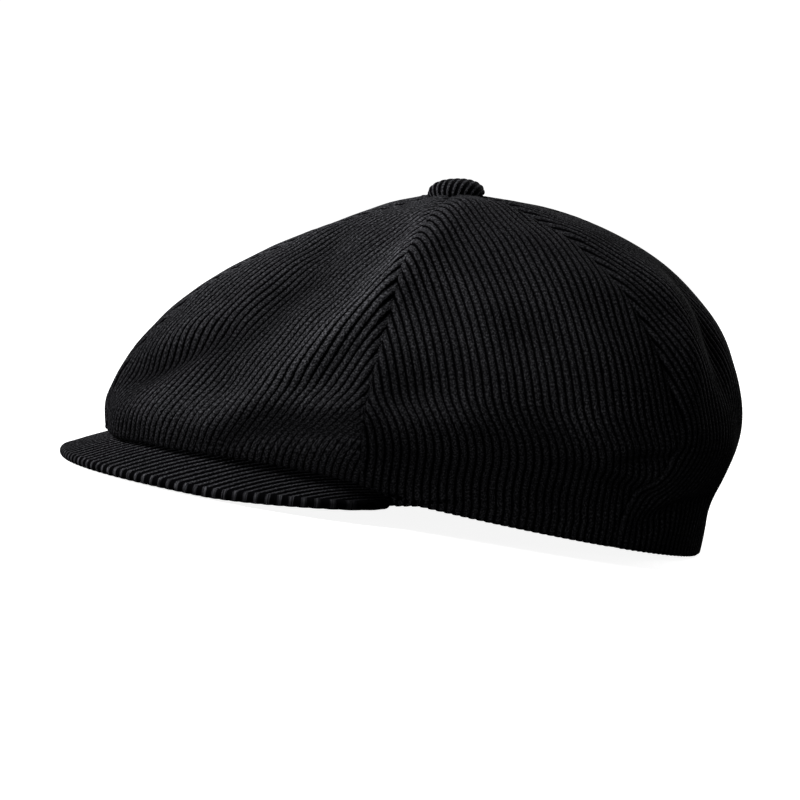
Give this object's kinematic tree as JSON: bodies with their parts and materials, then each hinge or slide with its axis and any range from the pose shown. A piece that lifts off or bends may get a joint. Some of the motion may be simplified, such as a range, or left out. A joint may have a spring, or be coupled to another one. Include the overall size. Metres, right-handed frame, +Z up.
{
  "type": "newsboy cap",
  "caption": "Full-crowned panelled cap in black wide-wale corduroy, with a covered top button and a short stiff peak.",
  "frame": {"origin": "On the surface that the cap stands on, under the middle of its overall box.", "axes": "+Z up as the cap stands on a table, resting on the edge of its peak and the back of its band; the peak points along -Y; +X is the wearer's left."},
  "size_m": [0.215, 0.267, 0.1344],
  "materials": {
    "corduroy": "black wide-wale cotton corduroy, cut pile",
    "button_metal": "pressed, bare",
    "button_plastic": "moulded, matte",
    "thread": "twisted polyester thread",
    "lining_satin": "black polyester satin lining",
    "peak_plastic": "die-cut polyethylene sheet",
    "pad_felt": "needled felt",
    "band_canvas": "stiff woven canvas",
    "elastic": "woven elastic tape",
    "sweatband_tape": "ribbed grosgrain tape",
    "label_tape": "plain woven tape, blank"
  },
  "bodies": {
    "root": {"panel_front_left": "corduroy", "panel_front_right": "corduroy", "panel_side_left": "corduroy", "panel_side_right": "corduroy", "panel_back_left": "corduroy", "panel_back_right": "corduroy", "button_cover": "corduroy", "button_cap": "button_metal", "button_back": "button_plastic", "button_thread": "thread", "top_patch": "lining_satin", "peak_top_cover": "corduroy", "peak_board": "peak_plastic", "peak_under_cover": "corduroy", "forehead_pad": "pad_felt", "band_stiffener_left": "band_canvas", "band_stiffener_right": "band_canvas", "rear_elastic": "elastic", "sweatband": "sweatband_tape", "lining_front_left": "lining_satin", "lining_front_right": "lining_satin", "lining_side_left": "lining_satin", "lining_side_right": "lining_satin", "lining_back_left": "lining_satin", "lining_back_right": "lining_satin", "size_label": "label_tape"}
  },
  "joints": []
}
